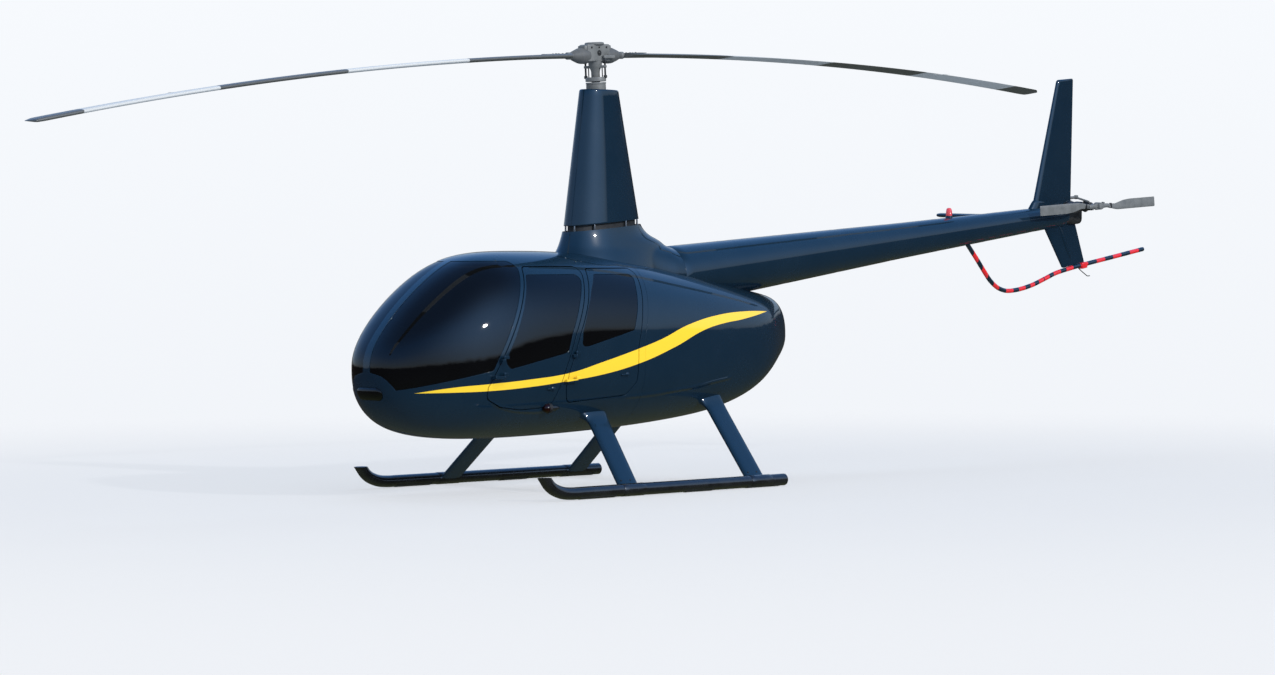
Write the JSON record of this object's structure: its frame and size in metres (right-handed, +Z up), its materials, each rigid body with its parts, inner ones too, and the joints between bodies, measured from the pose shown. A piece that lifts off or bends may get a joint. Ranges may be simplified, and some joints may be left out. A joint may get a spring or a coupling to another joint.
{
  "type": "helicopter",
  "caption": "Light piston helicopter on skids with hinged cabin doors, a teetering main rotor on a tall faired mast, a tail rotor and a guard tube under it.",
  "frame": {"origin": "on the ground, under the middle of the overall length with the rotors parked as in the picture; the rotor mast stands 0.748 m ahead of it", "axes": "+X to the nose, +Y to port, +Z up"},
  "size_m": [11.5099, 2.149, 3.365],
  "materials": {
    "navy_paint": "gloss navy paint",
    "grey_paint": "satin grey paint",
    "dark_metal": "dark machined metal",
    "tinted_glass": "dark tinted acrylic",
    "lamp_glass": "clear lamp cover",
    "red_lens": "red lens",
    "green_lens": "green lens",
    "guard_red": "red paint with navy bands",
    "lining": "dark cabin lining and carpet",
    "upholstery": "dark grey seat cover",
    "panel_black": "black panel and controls",
    "engine_grey": "cast engine block"
  },
  "bodies": {
    "airframe": {"cabin_shell": "navy_paint", "engine_cowl": "navy_paint", "roof_cowl": "navy_paint", "mast_fairing": "navy_paint", "windscreen_port": "tinted_glass", "windscreen_starboard": "tinted_glass", "landing_light": "lamp_glass", "bulkhead": "lining", "cabin_floor": "lining", "front_seat_port": "upholstery", "front_seat_starboard": "upholstery", "rear_seat": "upholstery", "instrument_console": "panel_black", "cyclic_stick": "panel_black", "engine_block": "engine_grey", "swashplate": "dark_metal", "tail_cone": "navy_paint", "fin_upper": "navy_paint", "fin_lower": "navy_paint", "stabiliser": "navy_paint", "tail_gearbox": "dark_metal", "tail_guard": "guard_red", "strobe_light": "red_lens", "nav_light_port": "red_lens", "nav_light_starboard": "green_lens", "skid_port": "navy_paint", "skid_starboard": "navy_paint", "leg_front_port": "navy_paint", "leg_front_starboard": "navy_paint", "leg_rear_port": "navy_paint", "leg_rear_starboard": "navy_paint"},
    "main_rotor": {"rotor_head": "dark_metal", "main_blade_1": "grey_paint", "main_blade_2": "grey_paint"},
    "tail_rotor": {"tail_rotor_hub": "grey_paint", "tail_blade_1": "grey_paint", "tail_blade_2": "grey_paint"},
    "front_door_port": {"door_front_port": "navy_paint", "door_window_front_port": "tinted_glass"},
    "front_door_starboard": {"door_front_starboard": "navy_paint", "door_window_front_starboard": "tinted_glass"},
    "rear_door_port": {"door_rear_port": "navy_paint", "door_window_rear_port": "tinted_glass"},
    "rear_door_starboard": {"door_rear_starboard": "navy_paint", "door_window_rear_starboard": "tinted_glass"}
  },
  "joints": [
    {"name": "main_rotor_spin", "type": "hinge", "parent": "airframe", "child": "main_rotor", "pos_m": [0.748, 0, 3.24], "axis": [0.048, 0, 0.9988], "continuous": true},
    {"name": "tail_rotor_spin", "type": "hinge", "parent": "airframe", "child": "tail_rotor", "pos_m": [-4.962, 0.2, 2.15], "axis": [0, 1, 0], "continuous": true},
    {"name": "front_door_port_hinge", "type": "hinge", "parent": "airframe", "child": "front_door_port", "pos_m": [2.218, 0.634, 0.88], "axis": [0, 0, -1], "range_deg": [0, 75]},
    {"name": "front_door_starboard_hinge", "type": "hinge", "parent": "airframe", "child": "front_door_starboard", "pos_m": [2.218, -0.634, 0.88], "axis": [0, 0, 1], "range_deg": [0, 75]},
    {"name": "rear_door_port_hinge", "type": "hinge", "parent": "airframe", "child": "rear_door_port", "pos_m": [1.548, 0.662, 0.84], "axis": [0, 0, -1], "range_deg": [0, 75]},
    {"name": "rear_door_starboard_hinge", "type": "hinge", "parent": "airframe", "child": "rear_door_starboard", "pos_m": [1.548, -0.662, 0.84], "axis": [0, 0, 1], "range_deg": [0, 75]}
  ]
}
